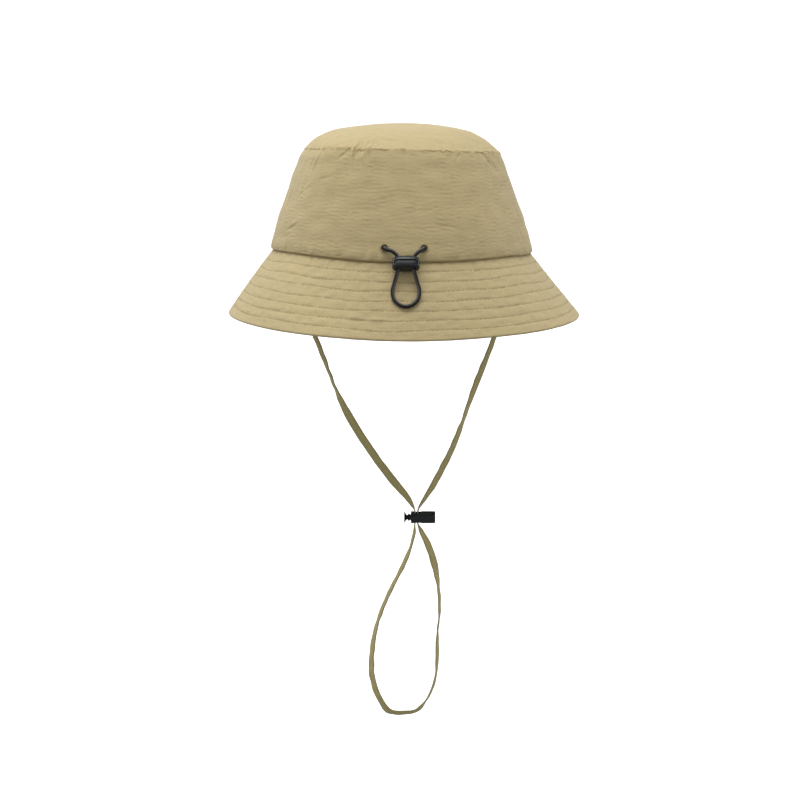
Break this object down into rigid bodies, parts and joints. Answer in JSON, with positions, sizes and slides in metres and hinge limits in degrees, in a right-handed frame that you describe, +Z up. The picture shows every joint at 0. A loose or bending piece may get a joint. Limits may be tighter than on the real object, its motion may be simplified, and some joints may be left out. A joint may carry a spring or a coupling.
{
  "type": "fishing hat",
  "caption": "Soft bucket-style fishing hat with a domed oval crown, stitched sloping brim, back cord toggle adjuster and a chin strap with a push lock.",
  "frame": {"origin": "middle of the head opening, at the height of the seam between crown and brim", "axes": "+Z up through the crown, +X to the wearer's right, +Y to the front of the hat, so the cord adjuster at the back faces -Y"},
  "size_m": [0.2505, 0.2521, 0.4398],
  "materials": {
    "cloth": "matt crinkled nylon",
    "thread": "matt sewing thread",
    "tape": "matt woven tape",
    "elastic": "braided elastic",
    "plastic": "satin moulded plastic"
  },
  "bodies": {
    "hat": {"crown_tip": "cloth", "crown_band": "cloth", "brim": "cloth", "eyelet_left": "thread", "eyelet_right": "thread", "elastic_cord": "elastic", "toggle_body": "plastic", "chin_strap": "tape", "strap_lock_barrel": "plastic"},
    "toggle_button": {"toggle_slider": "plastic"},
    "lock_plunger": {"strap_lock_plunger": "plastic"}
  },
  "joints": [
    {"name": "toggle_press", "type": "slide", "parent": "hat", "child": "toggle_button", "axis": [0, 0.865, -0.5018], "range_m": [0, 0.0012], "stiffness_N_per_m": 600, "springref_m": -0.001},
    {"name": "lock_press", "type": "slide", "parent": "hat", "child": "lock_plunger", "axis": [1, 0, 0], "range_m": [0, 0.0018], "stiffness_N_per_m": 600, "springref_m": -0.001}
  ]
}
